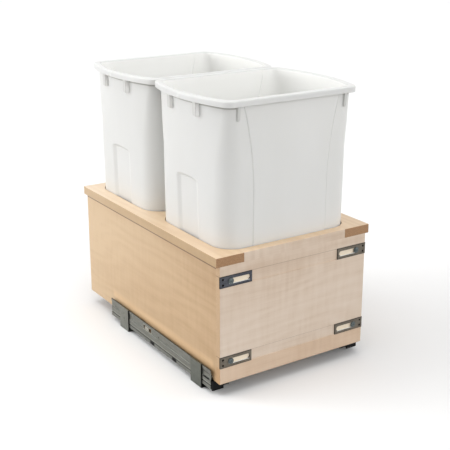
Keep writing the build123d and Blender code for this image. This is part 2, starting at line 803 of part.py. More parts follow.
# ------------------------------------------------------------------ lock and rear hook
def lock_pad_inset():
    return drawer_rail_inset + drawer_rail_width + lock_rail_gap


def lock_screw_places():
    """Two screws behind each other in the outer part of the pad."""
    inset = small_screw_head_radius + lock_screw_margin
    u = lock_pad_inset() + inset
    return [(u, lock_y + inset), (u, lock_y + lock_pad_depth - inset)]


def lock_body():
    """The front lock: a block before the drawer member, an apron and a pad under the bottom."""
    apron_u = web_inner + lock_apron_gap
    apron_y = rail_y - lock_apron_gap
    low = rail_floor + lock_rail_gap
    seat = box_lift - closer_top_gap
    inside_side = runner_gap + panel_thickness + lock_rail_gap
    inside_lip = rail_reach - sheet - lock_rail_gap
    lip_top = rail_base + rail_lip_height + lock_rail_gap
    body = left_block(runner_gap, inside_lip, lock_y, lock_back_y, low, seat)
    body += left_block(inside_side, lock_pad_inset(), lock_y, lock_back_y, lip_top, bottom_under)
    body += left_block(apron_u, apron_u + lock_apron_width, apron_y - lock_apron_thickness, apron_y,
                       lock_apron_low, seat)
    body += left_block(lock_pad_inset(), lock_pad_inset() + lock_pad_length, lock_y, lock_y + lock_pad_depth,
                       bottom_under - lock_pad_thickness, bottom_under)
    pin_low = bottom_under - lock_pad_thickness - lever_height - 2 * lever_end_gap
    body += rod_z(lock_pin_radius, pin_low, bottom_under - lock_pad_thickness, wall_x(lock_pin_inset), lock_pin_y)
    body += rod_z(lock_pin_radius + lever_hub_wall / 2, pin_low - lock_pin_head, pin_low,
                  wall_x(lock_pin_inset), lock_pin_y)
    for u, y in lock_screw_places():
        body -= rod_z(small_screw_radius, bottom_under - lock_pad_thickness, bottom_under, wall_x(u), y)
    return body


def lock_lever():
    """The finger lever on the lock's pin; its paddle points to the middle of the box."""
    high = bottom_under - lock_pad_thickness - lever_end_gap
    low = high - lever_height
    hub_radius = lock_pin_radius + lever_gap + lever_hub_wall
    u_end = lock_pin_inset + lever_length
    lever = rod_z(hub_radius, low, high, wall_x(lock_pin_inset), lock_pin_y)
    lever += left_block(lock_pin_inset, u_end, lock_pin_y - lever_arm / 2, lock_pin_y + lever_arm / 2, low, high)
    lever += left_block(u_end - lever_arm, u_end, lock_pin_y - lever_paddle / 2, lock_pin_y + lever_paddle / 2,
                        low, high)
    return lever - rod_z(lock_pin_radius + lever_gap, low, high, wall_x(lock_pin_inset), lock_pin_y)


def small_screw(u, y, seat):
    """A flat-head screw driven up into the bottom panel, with its head under the seat."""
    shank = rod_z(small_screw_radius, seat, bottom_under + small_screw_bite, wall_x(u), y)
    head = rod_z(small_screw_head_radius, seat - small_screw_head, seat, wall_x(u), y)
    return head + shank


def hook_screw_places():
    middle = drawer_rail_inset + drawer_rail_width / 2
    y = drawer_rail_end + hook_plate + (hook_flange - hook_plate) / 2
    return [(middle + side * small_screw_spacing / 2, y) for side in (-1, 1)]


def rear_hook():
    """The bracket behind the drawer member, with a tab that lies under its top."""
    u0, u1 = drawer_rail_inset, drawer_rail_inset + drawer_rail_width
    low = middle_high + hook_clearance
    plate = left_block(u0, u1, drawer_rail_end, drawer_rail_end + hook_plate, low, bottom_under)
    flange = left_block(u0, u1, drawer_rail_end, drawer_rail_end + hook_flange, bottom_under - sheet, bottom_under)
    centre = (u0 + u1) / 2
    tab = left_block(centre - hook_tab_width / 2, centre + hook_tab_width / 2, drawer_rail_end - hook_tab_length,
                     drawer_rail_end, drawer_rail_under - sheet, drawer_rail_under)
    hook = plate + flange + tab
    for u, y in hook_screw_places():
        hook -= rod_z(small_screw_radius, bottom_under - sheet, bottom_under, wall_x(u), y)
    return hook


def bottom_screws():
    """The screws of the two locks and the two rear hooks."""
    left = [small_screw(u, y, bottom_under - lock_pad_thickness) for u, y in lock_screw_places()]
    left += [small_screw(u, y, bottom_under - sheet) for u, y in hook_screw_places()]
    return left + [mirrored(screw) for screw in left]


def drilled_bottom():
    return bottom_panel() - bottom_screws()


# ------------------------------------------------------------------ all pieces
def both_sides(name, shape):
    """A left piece and its right twin, each a single solid or a list of solids."""
    if isinstance(shape, list):
        return {f"{name}_left": shape, f"{name}_right": [mirrored(piece) for piece in shape]}
    return {f"{name}_left": shape, f"{name}_right": mirrored(shape)}


def box_and_lid():
    pieces = both_sides("box_side", box_side())
    pieces["box_front_panel"] = front_panel()
    pieces["box_back_panel"] = back_panel()
    pieces["box_bottom_panel"] = drilled_bottom()
    pieces.update(both_sides("lid_stile", lid_stile()))
    between = (front_bin_y + rear_bin_y) / 2
    band = rim_overhang + rim_gap + waist_draw + waist_corner_radius
    pieces["lid_rail_front"] = lid_rail(front_y, front_y + rim_setback + band, eased=-1)
    pieces["lid_rail_middle"] = lid_rail(between - band, between + band)
    pieces["lid_rail_back"] = lid_rail(back_y - rim_back_setback - band, back_y, eased=1)
    pieces["lid_dowels"] = lid_dowels()
    pieces["corner_dowels"] = corner_dowels()
    return pieces


def bins():
    shape = waste_bin()
    return {"front_bin": Pos(0, front_bin_y, bin_foot) * shape,
            "rear_bin": Pos(0, rear_bin_y, bin_foot) * shape}


def door_hardware():
    pieces = {}
    for level, z in bracket_levels.items():
        pieces.update(both_sides(f"door_bracket_{level}", door_bracket(z)))
    pieces["bracket_washers"] = [bracket_washer(x, z) for x, z in bracket_screw_places()]
    pieces["bracket_screws"] = [bracket_screw(x, z) for x, z in bracket_screw_places()]
    return pieces


def runners():
    pieces = both_sides("runner_cabinet_member", cabinet_member())
    pieces.update(both_sides("runner_middle_member", middle_member()))
    pieces.update(both_sides("runner_drawer_member", drawer_member()))
    pieces.update(both_sides("lower_cage", roller_cage(lower_cage_length, roller_low_z)))
    pieces.update(both_sides("lower_rollers", rollers(lower_cage_length, roller_low_z)))
    pieces.update(both_sides("upper_cage", roller_cage(upper_cage_length, roller_high_z)))
    pieces.update(both_sides("upper_rollers", rollers(upper_cage_length, roller_high_z)))
    pieces.update(both_sides("floor_bracket_front", floor_bracket(foot_y_front)))
    pieces.update(both_sides("floor_bracket_rear", floor_bracket(foot_y_rear)))
    rivets = bracket_rivets(foot_y_front) + bracket_rivets(foot_y_rear)
    pieces["bracket_rivets"] = rivets + [mirrored(rivet) for rivet in rivets]
    pieces.update(both_sides("glide_clips", glide_clips()))
    return pieces


def runner_fittings():
    pieces = both_sides("closer_housing", closer_housing())
    pieces.update(both_sides("closer_catch", closer_catch()))
    pieces.update(both_sides("damper_cylinder", damper_cylinder()))
    pieces.update(both_sides("damper_rod", damper_rod()))
    pieces.update(both_sides("closing_spring", closing_spring()))
    pieces.update(both_sides("striker", striker()))
    pieces.update(both_sides("lock_body", lock_body()))
    pieces.update(both_sides("lock_lever", lock_lever()))
    pieces.update(both_sides("rear_hook", rear_hook()))
    pieces["bottom_screws"] = bottom_screws()
    return pieces


def all_pieces():
    return {**box_and_lid(), **bins(), **door_hardware(), **runners(), **runner_fittings()}


os.makedirs("parts", exist_ok=True)
for name, shape in all_pieces().items():
    solid = Compound(children=shape) if isinstance(shape, list) else shape
    export_step(solid, f"parts/{name}.step")
print(f"box {2 * box_half:.1f} x {box_depth:.1f} mm, lid top {lid_top:.1f} mm, rim top {rim_top:.1f} mm")
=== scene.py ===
import math

import bmesh
import bpy
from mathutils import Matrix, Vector


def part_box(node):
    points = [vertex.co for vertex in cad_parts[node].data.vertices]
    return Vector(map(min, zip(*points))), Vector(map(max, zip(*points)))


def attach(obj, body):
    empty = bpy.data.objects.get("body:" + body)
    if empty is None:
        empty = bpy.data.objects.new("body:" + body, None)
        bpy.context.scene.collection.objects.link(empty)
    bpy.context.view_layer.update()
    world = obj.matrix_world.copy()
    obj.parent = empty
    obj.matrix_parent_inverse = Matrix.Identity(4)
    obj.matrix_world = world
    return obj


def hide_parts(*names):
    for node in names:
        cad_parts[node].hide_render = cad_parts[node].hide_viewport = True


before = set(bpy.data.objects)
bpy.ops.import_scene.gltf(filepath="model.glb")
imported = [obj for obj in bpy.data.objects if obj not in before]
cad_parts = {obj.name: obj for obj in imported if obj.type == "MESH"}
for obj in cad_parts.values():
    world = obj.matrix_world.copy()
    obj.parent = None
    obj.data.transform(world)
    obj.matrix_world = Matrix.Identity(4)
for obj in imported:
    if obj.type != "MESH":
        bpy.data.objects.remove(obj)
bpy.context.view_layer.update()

# Looks of the pull-out waste cabinet, round the fixed frame.
# Metres, +Z up, +Y into the cabinet, X across. The floor is at Z 0.

MM = 0.001
SIDES = ("left", "right")


# ------------------------------------------------------------------ node helpers
def linear(channel):
    value = channel / 255
    return value / 12.92 if value <= 0.04045 else ((value + 0.055) / 1.055) ** 2.4


def rgb(red, green, blue):
    """A colour given as it shows on a screen, 0 to 255."""
    return (linear(red), linear(green), linear(blue), 1.0)


class Look:
    """One material, with short calls for the nodes that it is built from."""

    def __init__(self, name):
        self.material = bpy.data.materials.new(name)
        self.material.use_nodes = True
        self.tree = self.material.node_tree
        self.shader = self.tree.nodes["Principled BSDF"]
        self.place = self.add("ShaderNodeTexCoord").outputs["Object"]
        self.normal = self.add("ShaderNodeNewGeometry").outputs["Normal"]

    def add(self, kind, inputs=None, **settings):
        node = self.tree.nodes.new(kind)
        for key, value in settings.items():
            setattr(node, key, value)
        for key, value in (inputs or {}).items():
            self.feed(node.inputs[key], value)
        return node

    def feed(self, socket, value):
        if isinstance(value, bpy.types.NodeSocket):
            self.tree.links.new(value, socket)
        else:
            socket.default_value = value

    def set(self, **values):
        """Shader values that are the same all over the surface."""
        for key, value in values.items():
            self.shader.inputs[key.replace("_", " ")].default_value = value

    def math(self, operation, a, b=0.0, c=0.0):
        node = self.add("ShaderNodeMath", {0: a, 1: b, 2: c}, operation=operation)
        return node.outputs[0]

    def parts(self, vector):
        return self.add("ShaderNodeSeparateXYZ", {0: vector}).outputs

    def joined(self, x, y, z):
        return self.add("ShaderNodeCombineXYZ", {0: x, 1: y, 2: z}).outputs[0]

    def stretched(self, vector, x, y, z, shift=0.0):
        node = self.add("ShaderNodeMapping", {"Vector": vector})
        node.inputs["Scale"].default_value = (x, y, z)
        node.inputs["Location"].default_value = (shift, shift * 0.7, shift * 1.3)
        return node.outputs[0]

    def noise(self, vector, scale=1.0, detail=2.0, rough=0.5):
        node = self.add("ShaderNodeTexNoise", {"Vector": vector, "Scale": scale, "Detail": detail,
                                               "Roughness": rough})
        return node.outputs["Fac"]

    def cells(self, vector, scale):
        """A colour of its own for each cell of a pattern."""
        return self.add("ShaderNodeTexVoronoi", {"Vector": vector, "Scale": scale}).outputs["Color"]

    def span(self, value, low, high, to_low=0.0, to_high=1.0):
        """Maps low..high to to_low..to_high, and holds the ends."""
        node = self.add("ShaderNodeMapRange", {"Value": value, "From Min": low, "From Max": high,
                                               "To Min": to_low, "To Max": to_high})
        return node.outputs[0]

    def ramp(self, value, *stops):
        node = self.add("ShaderNodeValToRGB", {"Fac": value})
        elements = node.color_ramp.elements
        elements[0].position, elements[0].color = stops[0]
        elements[1].position, elements[1].color = stops[-1]
        for position, colour in stops[1:-1]:
            elements.new(position).color = colour
        return node.outputs["Color"]

    def mix(self, share, a, b, blend="MIX"):
        node = self.add("ShaderNodeMix", data_type="RGBA", blend_type=blend)
        for index, value in ((0, share), (6, a), (7, b)):
            self.feed(node.inputs[index], value)
        return node.outputs[2]

    def bump(self, height, strength, distance):
        node = self.add("ShaderNodeBump", {"Height": height, "Strength": strength, "Distance": distance})
        self.feed(self.shader.inputs["Normal"], node.outputs["Normal"])

    def colour(self, value):
        self.feed(self.shader.inputs["Base Color"], value)

    def roughness(self, value):
        self.feed(self.shader.inputs["Roughness"], value)

    def facing(self, *axes):
        """1 on faces that look along one of the axes, either way, and 0 elsewhere."""
        total = 0.0
        for axis in axes:
            turned = self.math("ABSOLUTE", self.parts(self.normal)[axis])
            total = self.math("ADD", total, self.span(turned, 0.6, 0.8))
        return total

    def varied(self, value, *terms):
        """Adds noises to a value, each of them centred on 0.5 and with a weight of its own."""
        for noise, weight in terms:
            value = self.math("MULTIPLY_ADD", self.math("SUBTRACT", noise, 0.5), weight, value)
        return value

    def patched(self, base, patches):
        """Tints boxes of the surface, each given as a mark (see "marks on the surfaces")."""
        place = self.parts(self.place)
        for ranges, soft, colour, share, blend in patches:
            amount = share
            for axis, (low, high) in ranges.items():
                rising = self.span(place[axis], (low - soft) * MM, (low + soft) * MM)
                falling = self.span(place[axis], (high - soft) * MM, (high + soft) * MM, 1.0, 0.0)
                amount = self.math("MULTIPLY", self.math("MULTIPLY", rising, falling), amount)
            base = self.mix(amount, base, colour, blend)
        return base


# ------------------------------------------------------------------ materials
X, Y, Z = 0, 1, 2
RINGS_PER_METRE = 26.0
RING_WARP = 11.0           # how far noise bends the rings, in rings
END_ARC_PITCH = 2400.0     # arcs of the end grain, radians per metre through the board
END_ARC_SLANT = 160.0      # and over its width
TONE_STOPS = (0.1, 0.5, 0.9)


def maple(name, grain, width, tones, end_tones, figure=1.0, curl=1.0, seed=0.0, painted_light_lean=0.0, coat=0.15,
          edge_tones=None, patches=()):
    """Lacquered maple: rings across the width, fibres along the grain, flecks, end grain and edge tones.

    Tones run from dark to light. Edge tones colour the faces that look along the width; on the lid's stiles
    they
    are painted shade. lean is painted light: how much lighter the wood is made, per metre, towards the low
    end of its grain, as if more light fell there.
    """
    look = Look(name)
    place = look.parts(look.place)
    depth = 3 - grain - width
    wood = look.joined(place[grain], place[width], place[depth])
    along, over, through = look.parts(wood)

    def wood_noise(per_metre_along, per_metre_across, detail, number=0, rough=0.5):
        shaped = look.stretched(wood, per_metre_along, per_metre_across, per_metre_across, seed + number)
        return look.noise(shaped, 1.0, detail, rough)

    warp = wood_noise(1.6, 7.0, 2.0)
    broad = wood_noise(2.2, 5.0, 1.0, 3)
    fibre = wood_noise(14.0, 520.0, 3.0, rough=0.6)
    streak = wood_noise(5.0, 110.0, 2.0, 5)
    flame = wood_noise(95.0, 13.0, 2.0, 7)
    fleck = look.span(wood_noise(120.0, 1100.0, 1.0, 9), 0.70, 0.78)
    pores = wood_noise(300.0, 900.0, 2.0)

    phase = look.math("MULTIPLY_ADD", warp, RING_WARP, look.math("MULTIPLY", over, RINGS_PER_METRE))
    rings = look.math("SINE", look.math("MULTIPLY", phase, math.tau))
    # painted light: the tone rises or falls along the grain, for light that falls off along the board
    tone = look.math("MULTIPLY_ADD", along, -painted_light_lean, 0.5)
    tone = look.math("MULTIPLY_ADD", rings, 0.11 * figure, tone)
    tone = look.varied(tone, (broad, 0.9), (streak, 0.26), (fibre, 0.35), (flame, 0.55 * curl))
    face = look.ramp(tone, *zip(TONE_STOPS, tones))
    face = look.mix(look.math("MULTIPLY", fleck, 0.35), face, tones[0])
    if edge_tones:
        face = look.mix(look.facing(width), face, look.ramp(tone, *zip(TONE_STOPS, edge_tones)))
    slant = look.math("MULTIPLY", over, END_ARC_SLANT)
    arcs = look.math("SINE", look.math("MULTIPLY_ADD", through, END_ARC_PITCH, slant))
    end = look.math("MULTIPLY_ADD", arcs, 0.12, pores)
    ends = look.ramp(end, (0.3, end_tones[0]), (0.7, end_tones[1]))
    cut = look.facing(grain)
    look.colour(look.patched(look.mix(cut, face, ends), patches))
    open_grain = look.math("ADD", fibre, look.math("MULTIPLY", cut, 0.3))
    look.roughness(look.span(open_grain, 0.3, 1.0, 0.36, 0.62))
    look.bump(look.math("MULTIPLY_ADD", fleck, -0.6, fibre), 0.25, 0.00012)
    look.set(Coat_Weight=coat, Coat_Roughness=0.3, Specular_IOR_Level=0.42)
    return look.material


DUST = rgb(150, 142, 130)


def moulded(name, tone, shade, rough=0.42, grit=1500.0, dust=0.0, glow=0.0, gloss=0.5, patches=()):
    """Moulded plastic: a fine texture, slight flow marks, dust in patches, and light through its wall."""
    look = Look(name)
    flow = look.noise(look.stretched(look.place, 9.0, 9.0, 3.0), 1.0, 3.0)
    skin = look.noise(look.place, grit, 2.0)
    grime = look.noise(look.place, 38.0, 4.0, 0.6)
    base = look.ramp(look.varied(flow, (skin, 0.25)), (0.25, shade), (0.75, tone))
    worn = look.math("MULTIPLY", look.span(grime, 0.55, 0.75), dust)
    look.colour(look.patched(look.mix(worn, base, DUST), patches))
    look.roughness(look.span(look.math("ADD", skin, grime), 0.6, 1.4, rough - 0.07, rough + 0.09))
    look.bump(skin, 0.18, 0.00006)
    look.set(Specular_IOR_Level=gloss)
    if glow:
        look.set(Subsurface_Weight=glow, Subsurface_Radius=(1.0, 0.95, 0.88), Subsurface_Scale=0.012)
    return look.material


ROLL_LINES = 700.0         # lines that the rolls leave, per metre across them
ROLL_LINES_ALONG = 4.0     # and per metre of their length
METALLIC = 0.75            # below 1, because plating and grease dull the metal


def sheet_steel(name, light, dark, drawn=Y, rough=0.42, edge=None, edge_axes=(Y,), spots=0.3, patches=()):
    """Zinc-plated steel: lines from the rolls, a soft spangle, dull spots, and painted shade on its edges and
    flanges.
    """
    look = Look(name)
    scale = [ROLL_LINES] * 3
    scale[drawn] = ROLL_LINES_ALONG
    lines = look.noise(look.stretched(look.place, *scale), 1.0, 3.0, 0.6)
    spangle = look.parts(look.cells(look.place, 160.0))[0]
    blotch = look.noise(look.place, 26.0, 4.0, 0.6)
    tone = look.varied(0.5, (lines, 0.8), (spangle, 0.25), (blotch, 0.9))
    face = look.ramp(tone, (0.1, dark), (0.9, light))
    dull = look.span(look.noise(look.place, 75.0, 3.0), 0.58, 0.72)
    face = look.mix(look.math("MULTIPLY", dull, spots), face, dark)
    # painted shade: faces that look along edge_axes (the plates' edges and bent flanges) take the edge colour
    if edge is not None:
        face = look.mix(look.facing(*edge_axes), face, edge)
    look.colour(look.patched(face, patches))
    look.roughness(look.span(look.math("ADD", lines, dull), 0.3, 1.4, rough - 0.08, rough + 0.16))
    look.bump(lines, 0.15, 0.00005)
    look.set(Metallic=METALLIC)
    return look.material


MAPLE_SIDE = (rgb(180, 145, 105), rgb(200, 168, 129), rgb(213, 184, 146))
MAPLE_FRONT = (rgb(200, 176, 153), rgb(216, 197, 178), rgb(225, 209, 193))
# the lid's paler maple, made lighter still as painted sheen; the stiles' sides take darker tones, painted
# shade
LID_MAPLE_AND_PAINTED_SHEEN = (rgb(212, 180, 142), rgb(228, 200, 165), rgb(239, 216, 186))
LID_EDGE_PAINTED_SHADE = (rgb(168, 134, 89), rgb(184, 151, 106), rgb(195, 163, 120))
END_BROWN = (rgb(128, 92, 58), rgb(176, 134, 92))
END_PALE = (rgb(186, 152, 115), rgb(206, 176, 140))
BEECH = (rgb(170, 128, 84), rgb(200, 160, 112), rgb(216, 180, 134))


# ------------------------------------------------------------------ marks on the surfaces
# A mark tints a box of the surface: its ranges by axis and its softness, then colour, share and blend.
# Most marks here are painted shade and painted highlights.
# Sizes and places are in millimetres, from the frame's origin.
GROOVE_GAP = 0.1           # a door bracket to the walls of its groove
SLOT_INSET = 19.95         # a door bracket's outer end to its slot
SLOT_LENGTH = 50.5
SLOT_HALF = 5.25
HOLES_INSET = 0.6          # the painted shade in the front panel's holes ends this far from its sides
CLIP_LENGTH = 16.0         # one glide clip


def both(name):
    return [f"{name}_{side}" for side in SIDES]


def span_across(side, inner, outer):
    """The span from inner to outer on the side -1 or 1 of the middle."""
    return tuple(sorted((side * inner, side * outer)))


def side_painted_shade_and_light():
    """Marks on the box sides: painted shade under the lid, and painted light just above the runner."""
    low, high = (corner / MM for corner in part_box("runner_cabinet_member_left"))
    return [
        # painted shade under the lid's overhang
        ({Z: (269.0, 290.0)}, 0.6, rgb(104, 70, 36), 0.85, "MIX"),
        # painted light just above the runner, against the shade there
        ({Y: (low.y, high.y), Z: (high.z, 70.0)}, 5.0, rgb(236, 200, 154), 0.5, "MIX"),
    ]


def door_bracket(level):
    """Corners of the left door bracket at a level, and the span of heights of the groove that it lies in."""
    low, high = (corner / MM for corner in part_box(f"door_bracket_{level}_left"))
    return low, high, (low.z - GROOVE_GAP, high.z + GROOVE_GAP)


def front_tint_and_painted_light():
    """Marks on the front panel: its foot tinted a little darker, painted shade in its holes and along its
    grooves' upper edges, and painted light on the grooves' floors under the brackets.
    """
    panel_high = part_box("box_front_panel")[1] / MM
    half = panel_high.x - HOLES_INSET
    low, high, groove = door_bracket("lower")
    floor = high.y + GROOVE_GAP
    marks = [
        # the foot below the lower groove, tinted a little darker and warmer
        ({Z: (0.0, groove[0])}, 0.5, rgb(251, 241, 230), 1.0, "MULTIPLY"),
        # painted shade in the holes, on the panel's inside
        ({X: (-half, half), Y: (floor + 0.4, panel_high.y - 0.55)}, 0.2, rgb(20, 16, 12), 0.95, "MIX"),
    ]
    for level in ("lower", "upper"):
        low, high, groove = door_bracket(level)
        # painted shade along the groove's upper edge
        marks.append(({Z: (groove[1] - 1.2, groove[1])}, 0.2, rgb(120, 96, 74), 0.8, "MIX"))
        for side in (-1, 1):
            # painted light on the groove's floor under the bracket, against the bracket's shade
            covered = {X: span_across(side, -high.x, -low.x), Y: (low.y - 0.75, floor + 0.2), Z: groove}
            marks.append((covered, 0.1, rgb(243, 228, 205), 0.9, "MIX"))
    return marks


def bracket_painted_light():
    """Painted light on the door brackets: a painted highlight on the slot's lower edge, and painted shade
    along their upper and lower edges.
    """
    marks = []
    for level in ("lower", "upper"):
        low, high, groove = door_bracket(level)
        slot_low = (low.z + high.z) / 2 - SLOT_HALF
        slot_outer = -low.x - SLOT_INSET
        for side in (-1, 1):
            slot = span_across(side, slot_outer - SLOT_LENGTH + 1.5, slot_outer - 1.5)
            # painted highlight on the slot's lower edge
            ledge = {X: slot, Z: (slot_low - 0.6, slot_low + 0.2)}
            marks.append((ledge, 0.1, rgb(240, 242, 240), 0.9, "MIX"))
        # painted shade along the bracket's upper and lower edges, in its groove
        for edge in groove:
            marks.append(({Z: (edge - 1.2, edge + 1.2)}, 0.3, rgb(52, 49, 44), 0.8, "MIX"))
    return marks


def bin_marks():
    """Shade of the rim's skirt on the short walls."""
    under_skirt = (570.4, 575.0)
    return [({X: span_across(side, 126.0, 180.0), Z: under_skirt}, 1.0, rgb(128, 124, 114), 0.6, "MIX")
            for side in (-1, 1)]


def web_painted_light():
    """Painted shade and painted highlights on the runner's pressed web."""
    clip_low, clip_high = (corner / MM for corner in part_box("glide_clips_left"))
    foot_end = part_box("floor_bracket_front_left")[1].y / MM
    beside_foot = (foot_end - 0.15, foot_end + 2.45)
    front_slot = (-261.0, -236.0)
    window = (-21.6, 15.3)
    marks = [
        ({Z: (51.6, 54.0)}, 0.2, rgb(50, 46, 39), 0.9, "MIX"),              # painted shade along the upper edge
        ({Z: (21.2, 23.2)}, 0.3, rgb(166, 166, 156), 0.8, "MIX"),           # painted highlight above the crease
        ({Z: (18.4, 20.8)}, 0.2, rgb(34, 34, 31), 0.95, "MIX"),             # painted shade in the crease
        ({Z: (32.9, 34.1)}, 0.2, rgb(78, 79, 73), 0.9, "MIX"),              # painted shade on the lower slope of the rib
        # painted shade: dark slot marks at the web's front end
        ({Y: front_slot, Z: (28.8, 33.2)}, 0.2, rgb(14, 14, 13), 0.95, "MIX"),
        ({Y: front_slot, Z: (41.0, 42.8)}, 0.2, rgb(58, 52, 45), 0.8, "MIX"),
        ({Y: window, Z: (34.2, 46.8)}, 0.3, rgb(176, 174, 164), 0.8, "MIX"),      # painted highlight on the window and its rim
        # painted shade beside the front foot
        ({Y: beside_foot, Z: (42.3, 47.0)}, 0.2, rgb(20, 20, 18), 0.9, "MIX"),
        ({Y: beside_foot, Z: (27.0, 31.6)}, 0.2, rgb(20, 20, 18), 0.9, "MIX"),
    ]
    for start in (clip_low.y, clip_high.y - CLIP_LENGTH):
        # painted shade round each glide clip
        clip_shade = {Y: (start - 1.25, start + CLIP_LENGTH + 0.95), Z: (clip_low.z - 0.9, clip_high.z + 1.1)}
        marks.append((clip_shade, 0.3, rgb(16, 16, 15), 0.9, "MIX"))
    return marks


# painted light on the box sides: lighter towards the rear
side_wood = maple("maple side", Y, Z, MAPLE_SIDE, END_PALE, figure=0.55, curl=0.5, seed=1.7, painted_light_lean=-0.9,
                  patches=side_painted_shade_and_light())
back_wood = maple("maple back", X, Z, MAPLE_SIDE, END_PALE, figure=0.8, curl=0.5, seed=6.4)
front_wood = maple("maple front", X, Z, MAPLE_FRONT, END_PALE, figure=0.6, curl=0.75, seed=4.1,
                   patches=front_tint_and_painted_light())
# painted light on the lid's stiles: lighter towards the rear
stile_wood = maple("maple lid stile", Y, X, LID_MAPLE_AND_PAINTED_SHEEN, END_BROWN, figure=0.7, curl=0.4, seed=8.3, painted_light_lean=-0.7,
                   coat=0.5, edge_tones=LID_EDGE_PAINTED_SHADE)
rail_wood = maple("maple lid rail", X, Y, LID_MAPLE_AND_PAINTED_SHEEN, END_PALE, figure=0.6, curl=0.8, seed=5.2, coat=0.5,
                  edge_tones=MAPLE_FRONT)
bottom_wood = maple("maple bottom", Y, X, MAPLE_SIDE, END_PALE, figure=0.8, curl=0.5, seed=12.9)
dowel_wood = maple("beech dowel", Z, X, BEECH, END_BROWN, figure=0.3, curl=0.2, seed=2.2)

white_plastic = moulded("white bin plastic", rgb(224, 224, 222), rgb(219, 219, 216), rough=0.4, glow=0.3,
                        patches=bin_marks())
# a lighter copy of the bin plastic, painted light, for the bins' insides and the side gussets' flanks
plastic_painted_lighter = moulded("white bin plastic painted lighter", rgb(253, 253, 251), rgb(250, 250, 247), rough=0.34)
# a darker copy of the bin plastic, painted shade, for the gussets' other faces
plastic_painted_darker = moulded("white bin plastic ribs painted darker", rgb(212, 212, 209), rgb(205, 205, 201))
black_plastic = moulded("black lock plastic", rgb(15, 15, 16), rgb(9, 9, 10), rough=0.6, grit=2600.0,
                        dust=0.02, gloss=0.15)
grey_plastic = moulded("grey runner plastic", rgb(112, 113, 114), rgb(98, 99, 100), rough=0.5, grit=2400.0,
                       dust=0.1)

runner_steel = sheet_steel("zinc runner steel", rgb(130, 131, 125), rgb(103, 104, 97), patches=web_painted_light())
# a darker copy of the runner steel, painted shade, for the members and hooks behind the web
runner_steel_painted_darker = sheet_steel("runner steel painted darker", rgb(92, 91, 84), rgb(62, 61, 55))
foot_steel = sheet_steel("zinc floor bracket front", rgb(108, 112, 105), rgb(86, 89, 82), drawn=Z,
                         edge=rgb(30, 30, 28))
# a lighter copy of the front floor brackets' steel: painted light on the rear ones
rear_foot_steel_painted_lighter = sheet_steel("zinc floor bracket rear painted lighter", rgb(134, 136, 129), rgb(111, 113, 106), drawn=Z,
                              edge=rgb(52, 52, 48))
bracket_steel = sheet_steel("zinc door bracket", rgb(120, 113, 102), rgb(88, 82, 73), drawn=X, spots=0.5,
                            edge=rgb(44, 41, 37), edge_axes=(X, Z), patches=bracket_painted_light())
# the upper left door bracket: a darker, bluer copy of the bracket steel
dark_steel = sheet_steel("darker door bracket", rgb(86, 88, 95), rgb(56, 58, 65), drawn=X, spots=0.5,
                         edge=rgb(34, 34, 38), edge_axes=(X, Z), patches=bracket_painted_light())
screw_steel = sheet_steel("zinc screw steel", rgb(108, 116, 116), rgb(72, 80, 82), drawn=Z, rough=0.34)
ground_steel = sheet_steel("ground roller steel", rgb(190, 190, 190), rgb(160, 160, 160), drawn=X,
                           rough=0.25)
tube_aluminium = sheet_steel("drawn damper tube", rgb(196, 197, 200), rgb(172, 173, 176), drawn=Y,
                             rough=0.3)


# ------------------------------------------------------------------ CAD nodes that stay
def paint(node, material):
    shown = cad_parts[node]
    if not shown.material_slots:
        shown.data.materials.append(material)
    for slot in shown.material_slots:
        slot.material = material


def paint_frame():
    """Every CAD node that stays gets its material."""
    looks = {
        side_wood: both("box_side"),
        back_wood: ["box_back_panel"],
        bottom_wood: ["box_bottom_panel"],
        front_wood: ["box_front_panel"],
        stile_wood: both("lid_stile"),
        rail_wood: ["lid_rail_front", "lid_rail_middle", "lid_rail_back"],
        dowel_wood: ["lid_dowels", "corner_dowels"],
        white_plastic: ["front_bin", "rear_bin"],
        dark_steel: ["door_bracket_upper_left"],
        bracket_steel: ["door_bracket_upper_right"] + both("door_bracket_lower"),
        screw_steel: ["bracket_washers", "bracket_screws", "bottom_screws"],
        runner_steel: both("runner_cabinet_member"),
        runner_steel_painted_darker: both("runner_middle_member") + both("runner_drawer_member") + both("rear_hook"),
        foot_steel: both("floor_bracket_front") + ["bracket_rivets"],
        rear_foot_steel_painted_lighter: both("floor_bracket_rear"),
        ground_steel: both("lower_rollers") + both("upper_rollers") + both("damper_rod")
        + both("closing_spring"),
        black_plastic: both("lock_body") + both("lock_lever") + both("glide_clips") + both("closer_catch")
        + both("striker"),
        grey_plastic: both("lower_cage") + both("upper_cage") + both("closer_housing"),
        tube_aluminium: both("damper_cylinder"),
    }
    for material, nodes in looks.items():
        for node in nodes:
            paint(node, material)


EASED_WIDTH = 0.0008
EASED_FROM_ANGLE = 40
WELD_REACH = 0.00001


def ease_edges():
    """The boards' sharp edges are broken, as with sandpaper."""
    boards = both("box_side") + both("lid_stile") + ["box_front_panel", "box_back_panel", "lid_rail_front",
                                                     "lid_rail_middle", "lid_rail_back"]
    for node in boards:
        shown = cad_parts[node]
        weld = shown.modifiers.new("weld", "WELD")
        weld.merge_threshold = WELD_REACH
        bevel = shown.modifiers.new("eased edge", "BEVEL")
        bevel.width = EASED_WIDTH
        bevel.segments = 2
        bevel.limit_method = "ANGLE"
        bevel.angle_limit = math.radians(EASED_FROM_ANGLE)
        bevel.harden_normals = True


# ------------------------------------------------------------------ mesh helpers
def new_piece(name, mesh, material, body, slot, *replaced):
    """A finished piece: its material, its body, and the CAD nodes that it stands for."""
    mesh.materials.append(material)
    piece = bpy.data.objects.new(name, mesh)
    bpy.context.scene.collection.objects.link(piece)
    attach(piece, body)
    if replaced:
        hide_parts(*replaced)
    return piece


SMOOTH_BELOW = 38          # degrees between two faces


